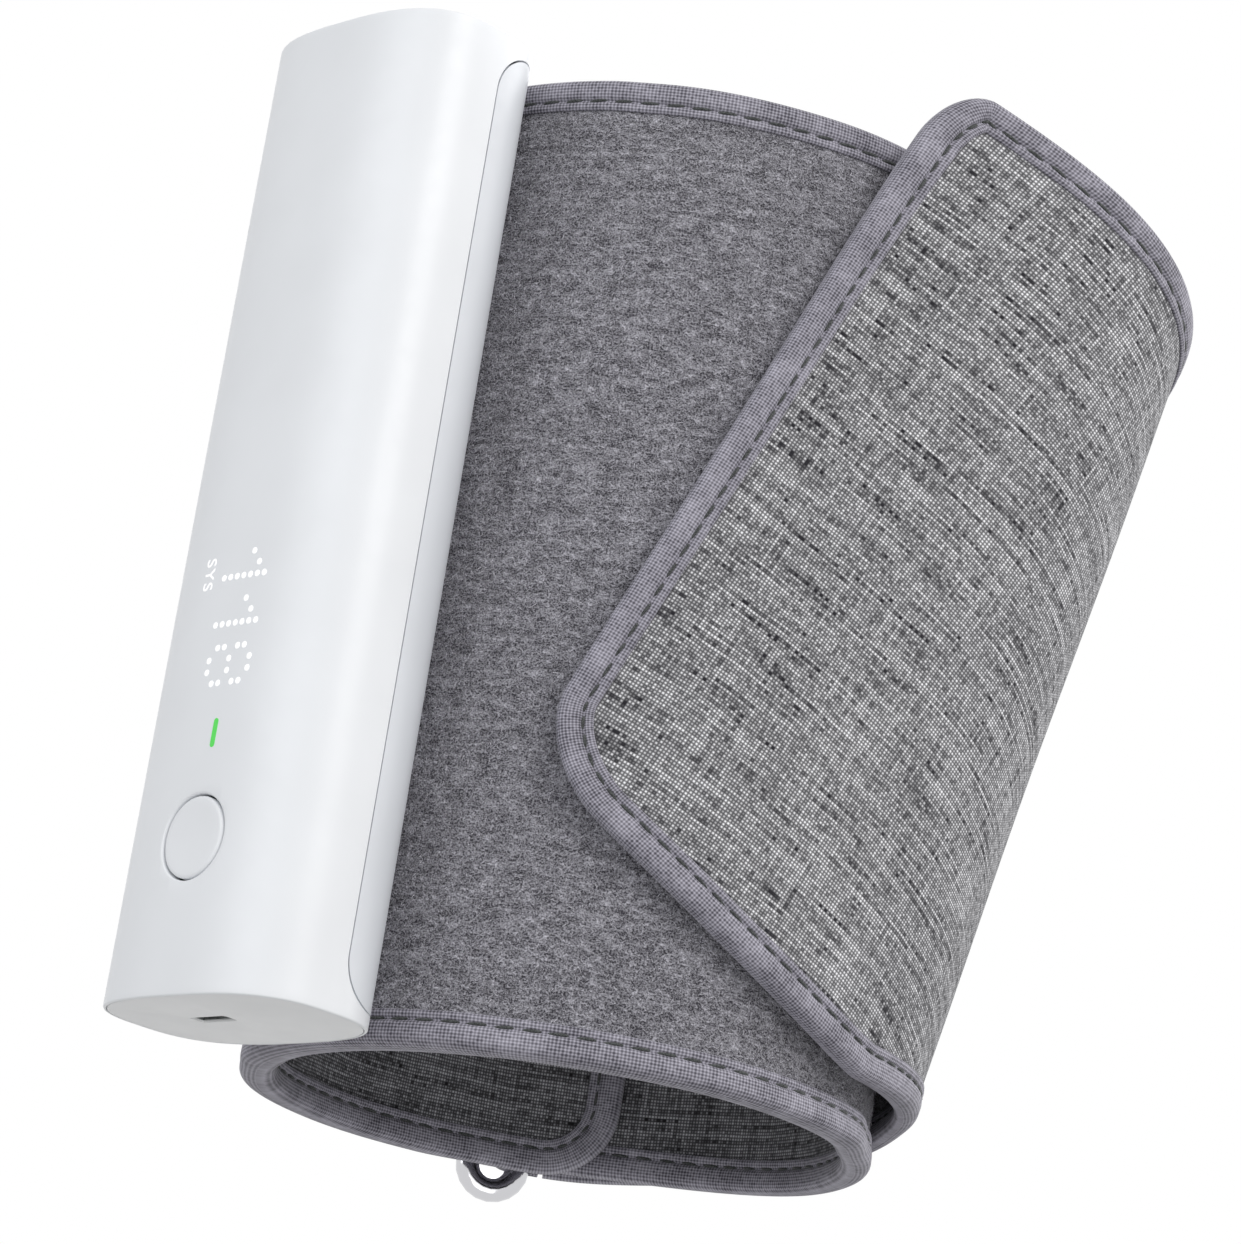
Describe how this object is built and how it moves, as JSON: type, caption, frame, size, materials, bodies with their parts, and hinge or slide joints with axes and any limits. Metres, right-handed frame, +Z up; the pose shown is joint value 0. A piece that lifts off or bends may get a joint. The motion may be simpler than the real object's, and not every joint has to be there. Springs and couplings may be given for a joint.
{
  "type": "blood pressure cuff",
  "caption": "One-piece upper-arm blood pressure monitor: a rounded pump and display tube carried on a wrapped fabric cuff with a metal ring and a hook-and-loop flap.",
  "frame": {"origin": "centre of the underside of the bounding box, at the height of the surface the cuff stands on", "axes": "+Z up along the arm, from the charging port end to the other end; -Y is the side of the display and the end of the flap; +X is the side where the flap stands off the band"},
  "size_m": [0.1528, 0.1274, 0.161],
  "materials": {
    "white_shell": "satin white moulded plastic, very slightly cool",
    "rear_cover": "satin light grey moulded plastic",
    "dark_plastic": "dark moulded plastic",
    "circuit_board": "solder mask",
    "polished_ring": "polished chrome wire",
    "plain_steel": "plain steel",
    "status_green": "translucent green light guide",
    "clear_plastic": "milky clear plastic",
    "hose_rubber": "soft tubing",
    "heather_weave": "black and white heather plain weave",
    "loop_pile": "fluffy grey-violet loop pile",
    "binding_tape": "grey-violet basket-weave binding with dashed stitches",
    "hook_tape": "moulded hook tape",
    "bladder_film": "thin elastomer film",
    "stiffener_sheet": "flexible plastic sheet",
    "battery_wrap": "shrink wrap"
  },
  "bodies": {
    "cuff": {"lining": "heather_weave", "outer_fabric": "loop_pile", "bladder": "bladder_film", "stiffener": "stiffener_sheet", "cuff_edge_bottom": "binding_tape", "cuff_edge_top": "binding_tape", "cuff_edge_end": "binding_tape", "metal_ring": "polished_ring", "strap_fold": "loop_pile", "ring_strap": "loop_pile", "flap_back": "loop_pile", "flap_face": "heather_weave", "flap_edge_bottom": "binding_tape", "flap_edge_top": "binding_tape", "front_shell": "white_shell", "rear_cover": "rear_cover", "bottom_cap": "white_shell", "top_cap": "white_shell", "main_board": "circuit_board", "power_switch": "dark_plastic", "led_display": "dark_plastic", "light_mask": "dark_plastic", "status_light_pipe": "status_green", "controller_chip": "dark_plastic", "pressure_sensor": "dark_plastic", "usb_receptacle": "plain_steel", "battery": "battery_wrap", "pump_motor": "plain_steel", "pump_head": "dark_plastic", "air_valve": "plain_steel", "air_manifold": "clear_plastic", "air_nozzle": "clear_plastic", "air_hose": "hose_rubber", "chassis": "dark_plastic", "chassis_screw_1": "plain_steel", "chassis_screw_2": "plain_steel", "chassis_screw_3": "plain_steel", "chassis_screw_4": "plain_steel", "cuff_screw_1": "plain_steel", "cuff_screw_2": "plain_steel"},
    "flap_end": {"tail_back": "loop_pile", "tail_face": "heather_weave", "tail_edge": "binding_tape", "hook_patch": "hook_tape"},
    "button": {"power_button": "white_shell"},
    "crank": {"pump_crank": "dark_plastic"},
    "plunger": {"valve_plunger": "plain_steel"}
  },
  "joints": [
    {"name": "flap_open", "type": "hinge", "parent": "cuff", "child": "flap_end", "pos_m": [0.0448, -0.00489, 0.00921], "axis": [0.1855, -0.0721, 0.98], "range_deg": [0, 100]},
    {"name": "button_press", "type": "slide", "parent": "cuff", "child": "button", "axis": [0.7193, 0.6944, 0.0216], "range_m": [0, 0.0008], "stiffness_N_per_m": 300},
    {"name": "pump_spin", "type": "hinge", "parent": "cuff", "child": "crank", "pos_m": [-0.06086, -0.03937, 0.12299], "axis": [0.0106, -0.042, 0.9991], "continuous": true},
    {"name": "valve_stroke", "type": "slide", "parent": "cuff", "child": "plunger", "axis": [0.0106, -0.042, 0.9991], "range_m": [0, 0.001], "stiffness_N_per_m": 100}
  ]
}
